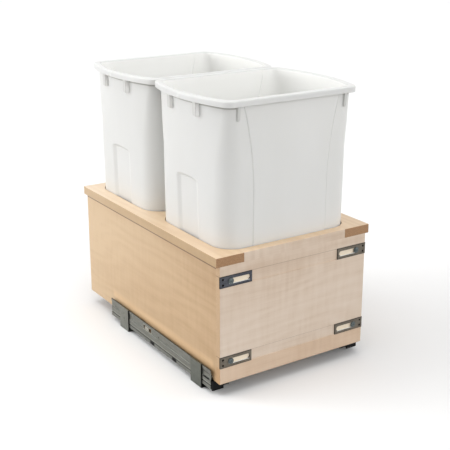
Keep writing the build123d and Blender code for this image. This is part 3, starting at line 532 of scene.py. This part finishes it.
def smooth(mesh):
    mesh.shade_smooth()
    mesh.set_sharp_from_angle(angle=math.radians(SMOOTH_BELOW))


def ease(value):
    """Smooth step from 0 to 1."""
    value = min(1.0, max(0.0, value))
    return value * value * (3 - 2 * value)


# ------------------------------------------------------------------ bins
# Sizes and places in millimetres, from the middle of the bin's foot.
BIN_WALL = 3.0
BIN_HEIGHT = 533.4
FOOT_BEVEL = 6.0
RIM_HALF = 153.3
RIM_HALF_DEPTH = 139.7
RIM_BOW = 24.6
RIM_RADIUS = 21.0
RIM_OVERHANG = 9.0
RIM_SKIRT = 12.6
RIM_SKIRT_WALL = 2.5
RIM_TOP_ROUND = 3.2
RIM_MOUTH_ROUND = 2.0
# height above the foot, half width at the corner, half depth, bow of the short walls, corner radius
BIN_SECTIONS = (
    (0.0, 147.3, 126.5, 2.0, 45.0),
    (FOOT_BEVEL, 147.3, 126.5, 2.0, 45.0),
    (240.8, 155.0, 128.5, 2.0, 45.0),
    (408.0, 148.9, 129.8, 14.9, 45.0),
    (BIN_HEIGHT, RIM_HALF - RIM_OVERHANG, RIM_HALF_DEPTH - RIM_OVERHANG, RIM_BOW, RIM_RADIUS),
)
ARCH_HALF = 43.0           # sunk panel in the short walls
ARCH_TOP = 362.0
ARCH_RISE = 5.0
ARCH_LEDGE = 7.0
ARCH_SLOPE = 15.0
ARCH_DEPTH = 5.0
PANEL_HALF = 88.4          # raised panel on the long walls, flaring to the rim
PANEL_FLARE = 24.5
PANEL_SHOULDER = 338.0
PANEL_EDGE = 1.0
PANEL_RISE = 1.2
PANEL_GROOVE = 0.9         # fine groove along the panel's edge
PANEL_GROOVE_PLACE = 1.4
PANEL_GROOVE_HALF = 0.8
GUSSET_HEIGHT = 38.1       # with the part that the rim's skirt hides
GUSSET_DEPTH = 7.0
GUSSET_ROOT = 2.0          # how far it reaches into the wall
GUSSET_EDGE = 0.7          # its bevelled edges
SIDE_GUSSET_WIDTH = 12.0
SIDE_GUSSET_PLACE = 48.0
END_GUSSET_WIDTH = 6.0
END_GUSSET_PLACE = 127.0
INSIDE_SLOT = 1            # material numbers of the shell's mesh, for its plastic painted lighter and painted darker
RIB_SLOT = 2
NUB_HALF = 2.5             # moulding mark in the middle of each short side of the rim
NUB_RISE = 0.9
# where the outline has points: shares of the flat's, the panel edge's and the groove's widths
FLAT_SHARES = (0, 0.2, 0.4, 0.6, 0.8, 0.94)
EDGE_SHARES = (-0.6, -0.36, -0.12, 0.12, 0.36, 0.6)
GROOVE_SHARES = (-0.6, -0.2, 0.2, 0.6, 1.0)
BEYOND_SHARES = (0.4, 0.75)
CORNER_STEPS = 12
SLOPE_STEP = 2.0           # between points over the arch's sloping edge
SLOPE_POINTS = 11
MIDDLE_PLACES = (16.0, 10.0, 4.0, NUB_HALF, 1.5, 0.0)
# rings of the wall: below the arch's ledge, over it, and above it
RINGS_BELOW = 18
LEDGE_RINGS = 17
LEDGE_RING_STEP = 0.875
LEDGE_RINGS_FROM = 8.6     # below the arch's top
RINGS_ABOVE = 12
# inset and height of the foot's rings, outside from its middle and inside towards it
FOOT_OUTSIDE = ((30.0, 0.0), (6.0, 0.0), (3.4, 0.8), (1.3, 2.6), (0.3, 4.4))
FOOT_INSIDE = ((3.4, 8.0), (5.6, 5.0), (9.5, 3.4), (14.0, BIN_WALL), (32.0, BIN_WALL))


def bin_section(height):
    """Half width, half depth, bow and corner radius of the wall's outside at a height."""
    for low, high in zip(BIN_SECTIONS, BIN_SECTIONS[1:]):
        if height <= high[0]:
            share = (height - low[0]) / (high[0] - low[0])
            return [a + (b - a) * share for a, b in zip(low[1:], high[1:])]
    return list(BIN_SECTIONS[-1][1:])


def panel_end(height):
    """Where the long wall's raised panel ends across the bin, at a height."""
    top = BIN_HEIGHT - RIM_SKIRT
    share = max(0.0, (height - PANEL_SHOULDER) / (top - PANEL_SHOULDER))
    return PANEL_HALF + PANEL_FLARE * min(1.0, share) ** 2


def long_wall_sink(x, height):
    """Depth of the groove beside the raised panel, and below 0 the panel's own height."""
    beyond = x - panel_end(height)
    groove = PANEL_GROOVE * ease(1 - abs(beyond - PANEL_GROOVE_PLACE) / PANEL_GROOVE_HALF)
    return groove - PANEL_RISE * ease(0.5 - beyond / PANEL_EDGE)


def short_wall_sink(y, height):
    """Depth of the arched panel: a ledge at its top, slopes at its two edges, shallower to the foot."""
    inward = ease((ARCH_HALF - abs(y)) / ARCH_SLOPE)
    top = ARCH_TOP + ARCH_RISE * (1 - (y / ARCH_HALF) ** 2)
    up = ease((top - height) / ARCH_LEDGE)
    fade = 0.4 + 0.6 * min(1.0, max(0.0, height / ARCH_TOP)) ** 2
    return ARCH_DEPTH * inward * up * fade


def quarter_outline(half, depth, bow, radius, height, sunk=True):
    """A quarter of the outline, from the middle of a long wall to the middle of a short one."""
    arc_radius = (depth ** 2 + bow ** 2) / (2 * bow)
    arc_x = half + bow - arc_radius
    round_x = arc_x + math.sqrt((arc_radius - radius) ** 2 - (depth - radius) ** 2)
    step = min(panel_end(height), round_x - 3)
    places = [step * share for share in FLAT_SHARES]
    places += [step + PANEL_EDGE * share for share in EDGE_SHARES]
    places += [step + PANEL_GROOVE_PLACE + PANEL_GROOVE_HALF * share for share in GROOVE_SHARES]
    places += [step + (round_x - step) * share for share in BEYOND_SHARES]
    points = []
    for x in places:
        sink = long_wall_sink(x, height) if sunk else 0
        points.append((x, -(depth - sink)))
    start, end = -math.pi / 2, math.atan2(-(depth - radius), round_x - arc_x)
    for index in range(CORNER_STEPS + 1):
        angle = start + (end - start) * index / CORNER_STEPS
        points.append((round_x + radius * math.cos(angle), -(depth - radius) + radius * math.sin(angle)))
    edge = -points[-1][1]
    places = [edge + (ARCH_HALF + 3 - edge) * share for share in (0.25, 0.5, 0.75)]
    places += [ARCH_HALF + 2 - index * SLOPE_STEP for index in range(SLOPE_POINTS)]
    places += MIDDLE_PLACES
    for y in places:
        x = arc_x + math.sqrt(arc_radius ** 2 - y ** 2)
        points.append((x - (short_wall_sink(y, height) if sunk else 0), -y))
    return points


def wall_heights():
    """Heights of the wall's rings, which are close together over the arch's ledge."""
    ledge = [ARCH_TOP - LEDGE_RINGS_FROM + index * LEDGE_RING_STEP for index in range(LEDGE_RINGS)]
    below = [FOOT_BEVEL + (ledge[0] - FOOT_BEVEL) * index / RINGS_BELOW for index in range(RINGS_BELOW)]
    top = BIN_HEIGHT - RIM_SKIRT_WALL
    above = [ledge[-1] + (top - ledge[-1]) * index / RINGS_ABOVE for index in range(1, RINGS_ABOVE + 1)]
    return below + ledge + above


def rim_profile():
    """Inset and height of the rim's rings: under it, round its skirt, over the top and into the mouth."""
    top = BIN_HEIGHT
    under = top - RIM_SKIRT_WALL
    skirt = top - RIM_SKIRT
    profile = [(RIM_SKIRT_WALL + 1.2, under), (RIM_SKIRT_WALL + 0.3, under - 0.4),
               (RIM_SKIRT_WALL, under - 1.4), (RIM_SKIRT_WALL, skirt + 0.6), (RIM_SKIRT_WALL - 0.6, skirt),
               (0.6, skirt), (0.0, skirt + 0.6), (0.0, top - RIM_TOP_ROUND - 3)]
    for index in range(7):
        angle = math.pi / 2 * index / 6
        profile.append((RIM_TOP_ROUND * (1 - math.cos(angle)), top - RIM_TOP_ROUND * (1 - math.sin(angle))))
    mouth = RIM_OVERHANG + BIN_WALL
    for index in range(5):
        angle = math.pi / 2 * index / 4
        profile.append((mouth - RIM_MOUTH_ROUND * (1 - math.sin(angle)),
                        top - RIM_MOUTH_ROUND * (1 - math.cos(angle))))
    return profile


def foot_rings(places):
    """Quarter rings of the foot, at insets and heights."""
    half, depth, bow, radius = bin_section(FOOT_BEVEL)
    return [(quarter_outline(half - inset, depth - inset, bow, radius - inset, 0, False), height)
            for inset, height in places]


def bin_rings():
    """Quarter rings of the whole shell, from the middle of the foot, up, over and down inside."""
    rings = foot_rings(FOOT_OUTSIDE)
    for height in wall_heights():
        rings.append((quarter_outline(*bin_section(height), height), height))
    for inset, height in rim_profile():
        radius = RIM_RADIUS - inset + RIM_OVERHANG * ease((inset - RIM_SKIRT_WALL) / RIM_OVERHANG)
        ring = quarter_outline(RIM_HALF - inset, RIM_HALF_DEPTH - inset, RIM_BOW, radius, BIN_HEIGHT, False)
        if inset < RIM_SKIRT_WALL / 2 and height < BIN_HEIGHT - RIM_TOP_ROUND:
            ring = [(x + (NUB_RISE if abs(y) <= NUB_HALF else 0), y) for x, y in ring]
        rings.append((ring, height))
    inside_from = len(rings) - 1
    for height in reversed([h for h in wall_heights() if BIN_WALL + 8 < h < BIN_HEIGHT - 6]):
        half, depth, bow, radius = bin_section(height)
        inner = quarter_outline(half - BIN_WALL, depth - BIN_WALL, bow, radius - BIN_WALL, height)
        rings.append((inner, height))
    return rings + foot_rings(FOOT_INSIDE), inside_from


def sew(bm, rings, inside_from):
    """Joins rings of equal length with quads; the rings inside the bin get its second material."""
    sewn = [[bm.verts.new(point) for point in ring] for ring in rings]
    for number, (low, high) in enumerate(zip(sewn, sewn[1:])):
        for index in range(len(low) - 1):
            face = bm.faces.new((low[index], low[index + 1], high[index + 1], high[index]))
            face.material_index = INSIDE_SLOT if number >= inside_from else 0
    return sewn


def close_to_middle(bm, ring, material_index):
    """Fills a quarter ring to the bin's middle line."""
    middle = bm.verts.new((0, 0, ring[0].co.z))
    for index in range(len(ring) - 1):
        bm.faces.new((middle, ring[index], ring[index + 1])).material_index = material_index


def add_gusset(bm, outward, along, offset, width, reach, high, foot, flank, face):
    """A small bracket under the rim, upright outside and rounded at its foot.

    It points outward, and its middle is at an offset along the wall. reach is how far out the wall stands
    at the gusset's foot, and how much further at its top. foot is the foot's share of the gusset's depth.
    flank and face are the material numbers of its two flanks and of its other faces.
    """
    low = high - GUSSET_HEIGHT
    # height, share of the depth and share of the width
    levels = ((low, foot * 0.7, 0.8), (low + 1.5, foot, 0.92), (low + 6, 0.3 + 0.7 * foot, 1.0),
              (high, 1.0, 1.0))
    loops = []
    for height, depth_share, width_share in levels:
        half = width / 2 * width_share
        inner = reach[0] + reach[1] * (height - low) / GUSSET_HEIGHT - GUSSET_ROOT
        out = reach[0] + (reach[1] + GUSSET_DEPTH) * depth_share
        eased = out - GUSSET_EDGE
        corners = [(inner, -half), (eased, -half), (out, -half + GUSSET_EDGE), (out, half - GUSSET_EDGE),
                   (eased, half), (inner, half)]
        loop = []
        for distance, aside in corners:
            place = Vector(outward) * distance + Vector(along) * (offset + aside)
            loop.append(bm.verts.new((place.x, place.y, height)))
        loops.append(loop)
    for a, b in zip(loops, loops[1:]):
        for index in range(len(a)):
            other = (index + 1) % len(a)
            quad = bm.faces.new((a[index], a[other], b[other], b[index]))
            quad.material_index = flank if index in (0, 4) else face
    bm.faces.new(loops[0][::-1]).material_index = face
    bm.faces.new(loops[-1])


def bin_mesh(name, node):
    """One bin, in metres, where its CAD node is."""
    low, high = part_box(node)
    centre_y = (low.y + high.y) / 2
    bm = bmesh.new()
    rings, inside_from = bin_rings()
    sewn = sew(bm, [[(x, y, height) for x, y in points] for points, height in rings], inside_from)
    close_to_middle(bm, sewn[0], 0)
    close_to_middle(bm, sewn[-1], INSIDE_SLOT)
    bmesh.ops.mirror(bm, geom=bm.verts[:] + bm.edges[:] + bm.faces[:], axis="X", merge_dist=0.01)
    bmesh.ops.mirror(bm, geom=bm.verts[:] + bm.edges[:] + bm.faces[:], axis="Y", merge_dist=0.01)
    bmesh.ops.recalc_face_normals(bm, faces=bm.faces[:])
    under = BIN_HEIGHT - RIM_SKIRT_WALL
    top_half, top_depth, top_bow, _ = bin_section(BIN_HEIGHT)
    low_half, low_depth, low_bow, _ = bin_section(under - GUSSET_HEIGHT)
    bow_share = 1 - (SIDE_GUSSET_PLACE / top_depth) ** 2
    wall = low_half + low_bow * bow_share
    grown = top_half + top_bow * bow_share - wall
    for side in (-1, 1):
        for end in (-1, 1):
            # the side gussets' flanks are painted lighter and their other faces darker; the end gussets are
            # painted darker all over
            add_gusset(bm, (side, 0, 0), (0, 1, 0), end * SIDE_GUSSET_PLACE, SIDE_GUSSET_WIDTH,
                       (wall, grown), under, 0.9, INSIDE_SLOT, RIB_SLOT)
            add_gusset(bm, (0, end, 0), (1, 0, 0), side * END_GUSSET_PLACE, END_GUSSET_WIDTH,
                       (low_depth, top_depth - low_depth), under, 0.5, RIB_SLOT, RIB_SLOT)
    bmesh.ops.recalc_face_normals(bm, faces=bm.faces[:])
    for vert in bm.verts:
        vert.co = Vector((vert.co.x * MM, vert.co.y * MM + centre_y, vert.co.z * MM + low.z))
    mesh = bpy.data.meshes.new(name)
    bm.to_mesh(mesh)
    bm.free()
    smooth(mesh)
    return mesh


def make_bins():
    for node in ("front_bin", "rear_bin"):
        shell = new_piece(f"{node}_shell", bin_mesh(node, node), white_plastic, node, "white_plastic", node)
        shell.data.materials.append(plastic_painted_lighter)
        shell.data.materials.append(plastic_painted_darker)


# ------------------------------------------------------------------ small hardware
# Sizes in millimetres.
HEAD_RADIUS = 4.0
HEAD_HEIGHT = 1.5
HEAD_RINGS = 16
HEAD_STEPS = 48
RECESS_ARM = 2.3
RECESS_HALF = 0.75
RECESS_DEPTH = 1.0
HEAD_DOME = 0.35           # fall of the head's face from its middle to its edge
HEAD_ROUND = 0.75          # and the further fall of its rounded edge,
HEAD_ROUND_FROM = 0.78     # which begins at this share of the radius
SHANK_RADIUS = 2.25
POINT_RADIUS = 0.3
POINT_LENGTH = 2.5


def cross_recess(x, z):
    """Depth of the cross in a screw head, at a place on it."""
    def arm(aside, along):
        return min(ease((RECESS_HALF - abs(aside)) / 0.4 + 0.5), ease((RECESS_ARM - abs(along)) / 0.6 + 0.5))
    return RECESS_DEPTH * max(arm(x, z), arm(z, x))


def add_pan_screw(bm, x, z, face, end):
    """A pan-head screw along Y: domed head with a cross recess, and its shank, in millimetres."""
    middle = bm.verts.new((x, face + RECESS_DEPTH, z))
    rows = []
    for ring in range(1, HEAD_RINGS + 1):
        share = ring / HEAD_RINGS
        sag = HEAD_DOME * share ** 2 + HEAD_ROUND * ease((share - HEAD_ROUND_FROM) / (1 - HEAD_ROUND_FROM))
        rows.append((HEAD_RADIUS * share, face + sag))
    rows += [(HEAD_RADIUS, face + HEAD_HEIGHT), (SHANK_RADIUS, face + HEAD_HEIGHT),
             (SHANK_RADIUS, end - POINT_LENGTH), (POINT_RADIUS, end)]
    loops = []
    for number, (radius, y) in enumerate(rows):
        loop = []
        for step in range(HEAD_STEPS):
            angle = math.tau * step / HEAD_STEPS
            dx, dz = radius * math.cos(angle), radius * math.sin(angle)
            sunk = cross_recess(dx, dz) if number < HEAD_RINGS - 2 else 0
            loop.append(bm.verts.new((x + dx, y + sunk, z + dz)))
        loops.append(loop)
    for step in range(HEAD_STEPS):
        after = (step + 1) % HEAD_STEPS
        bm.faces.new((middle, loops[0][step], loops[0][after]))
        for near, far in zip(loops, loops[1:]):
            bm.faces.new((near[step], far[step], far[after], near[after]))
    bm.faces.new(loops[-1][::-1])


def finished_mesh(name, bm):
    """Closes a piece made in millimetres and turns it to metres."""
    bmesh.ops.recalc_face_normals(bm, faces=bm.faces[:])
    bmesh.ops.scale(bm, vec=(MM, MM, MM), verts=bm.verts[:])
    mesh = bpy.data.meshes.new(name)
    bm.to_mesh(mesh)
    bm.free()
    smooth(mesh)
    return mesh


def make_screws():
    """The four screws that hold the door brackets, where the CAD screws are."""
    low, high = (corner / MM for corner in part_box("bracket_screws"))
    bm = bmesh.new()
    for x in (low.x + HEAD_RADIUS, high.x - HEAD_RADIUS):
        for z in (low.z + HEAD_RADIUS, high.z - HEAD_RADIUS):
            add_pan_screw(bm, x, z, low.y, high.y)
    mesh = finished_mesh("pan_screws", bm)
    new_piece("pan_screws", mesh, screw_steel, "carriage", "screw_steel", "bracket_screws")


def add_wedge(bm, xs, y, low, high):
    """A glide clip: full height at its front end, drawn out to a thin tongue at the rear."""
    slope_from, slope_to = CLIP_LENGTH / 2, CLIP_LENGTH - 1.2
    outline = ((0.0, low + 0.6), (0.6, low), (slope_from, low), (slope_to, high - 3.2),
               (CLIP_LENGTH, high - 2.6), (CLIP_LENGTH, high - 0.6), (CLIP_LENGTH - 0.8, high), (2.2, high),
               (0.0, high - 1.6))
    ends = [[bm.verts.new((x, y + along, z)) for along, z in outline] for x in xs]
    bm.faces.new(ends[0])
    bm.faces.new(ends[1][::-1])
    for index in range(len(outline)):
        after = (index + 1) % len(outline)
        bm.faces.new((ends[0][index], ends[0][after], ends[1][after], ends[1][index]))


def make_clips():
    for node in both("glide_clips"):
        low, high = (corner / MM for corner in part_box(node))
        bm = bmesh.new()
        for y in (low.y, high.y - CLIP_LENGTH):
            add_wedge(bm, (low.x, high.x), y, low.z, high.z)
        sharp = [edge for edge in bm.edges if edge.calc_face_angle(0) > math.radians(50)]
        bmesh.ops.bevel(bm, geom=sharp, offset=0.25, segments=2, profile=0.6, affect="EDGES",
                        clamp_overlap=True)
        name = node.replace("glide_clips", "wedge_clips")
        new_piece(name, finished_mesh(name, bm), black_plastic, "cabinet_side", "black_plastic", node)


# ------------------------------------------------------------------ camera, floor and light
# Places in metres, angles in degrees.
CAMERA_PLACE = (-1.0822, -1.6844, 0.9255)
CAMERA_YAW = 33.182        # from +Y towards +X
CAMERA_PITCH = -17.381
CAMERA_LENS = 75.44        # millimetres, on a sensor 36 wide
CAMERA_SHIFT = -0.05
SKY_STRENGTH = 0.35
# name, direction that it shines from, how bright a white face turned to it gets, angle
SUNS = (
    ("back_left", (-0.72, 0.56, 0.42), 0.40, 45),
    ("front", (0.0, -0.93, 0.37), 0.36, 45),
    ("right", (0.8, -0.3, 0.5), 0.18, 45),
    ("top", (-0.1, 0.0, 0.99), 0.40, 50),
)
SOFT_BOX_PLACE = (-1.65, 1.3, 0.8)
SOFT_BOX_TARGET = (0.0, 0.0, 0.3)
SOFT_BOX_SIDE = 1.0
SOFT_BOX_POWER = 12.0
FLOOR_HALF = 9.0
FLOOR_LEVEL = -0.0002      # just under the part
FLOOR_WHITE = 0.9
FLOOR_BOUNCE = 0.5


def make_camera():
    data = bpy.data.cameras.new("camera")
    data.lens = CAMERA_LENS
    data.sensor_width = 36
    data.shift_y = CAMERA_SHIFT
    camera = bpy.data.objects.new("camera", data)
    camera.location = CAMERA_PLACE
    camera.rotation_euler = (math.radians(90 + CAMERA_PITCH), 0, -math.radians(CAMERA_YAW))
    bpy.context.scene.collection.objects.link(camera)
    bpy.context.scene.camera = camera


def seen_directly(tree):
    """1 for rays from the camera and for those seen in gloss or through glass."""
    path = tree.nodes.new("ShaderNodeLightPath").outputs
    total = path["Is Camera Ray"]
    for other in ("Is Glossy Ray", "Is Transmission Ray"):
        node = tree.nodes.new("ShaderNodeMath")
        node.operation = "MAXIMUM"
        tree.links.new(total, node.inputs[0])
        tree.links.new(path[other], node.inputs[1])
        total = node.outputs[0]
    return total


def make_sky():
    world = bpy.data.worlds.new("studio")
    bpy.context.scene.world = world
    world.use_nodes = True
    tree = world.node_tree
    background = tree.nodes["Background"]
    background.inputs["Color"].default_value = (1, 1, 1, 1)
    strength = tree.nodes.new("ShaderNodeMapRange")
    strength.inputs["To Min"].default_value = SKY_STRENGTH
    strength.inputs["To Max"].default_value = 1.0
    tree.links.new(seen_directly(tree), strength.inputs["Value"])
    tree.links.new(strength.outputs[0], background.inputs["Strength"])


def make_floor():
    bm = bmesh.new()
    corners = ((-1, -1), (1, -1), (1, 1), (-1, 1))
    bm.faces.new([bm.verts.new((x * FLOOR_HALF, y * FLOOR_HALF, FLOOR_LEVEL)) for x, y in corners])
    mesh = bpy.data.meshes.new("floor")
    bm.to_mesh(mesh)
    bm.free()
    look = Look("studio floor")
    white, bounce = [(level, level, level, 1) for level in (FLOOR_WHITE, FLOOR_BOUNCE)]
    look.colour(look.mix(seen_directly(look.tree), bounce, white))
    look.set(Roughness=1.0, Specular_IOR_Level=0.0)
    mesh.materials.append(look.material)
    floor = bpy.data.objects.new("floor", mesh)
    bpy.context.scene.collection.objects.link(floor)


def add_light(kind, name, power, shines_from):
    """A light of a kind, turned so that it shines from a direction."""
    data = bpy.data.lights.new(name, kind)
    data.energy = power
    light = bpy.data.objects.new(name, data)
    light.rotation_euler = Vector(shines_from).to_track_quat("Z", "Y").to_euler()
    bpy.context.scene.collection.objects.link(light)
    return light


def make_lights():
    for name, direction, strength, angle in SUNS:
        add_light("SUN", name, strength * math.pi, direction).data.angle = math.radians(angle)
    box = add_light("AREA", "soft_box", SOFT_BOX_POWER, Vector(SOFT_BOX_PLACE) - Vector(SOFT_BOX_TARGET))
    box.data.size = SOFT_BOX_SIDE
    box.location = SOFT_BOX_PLACE


paint_frame()
ease_edges()
make_bins()
make_screws()
make_clips()
make_camera()
make_sky()
make_floor()
make_lights()
bpy.context.scene.view_settings.view_transform = "Standard"
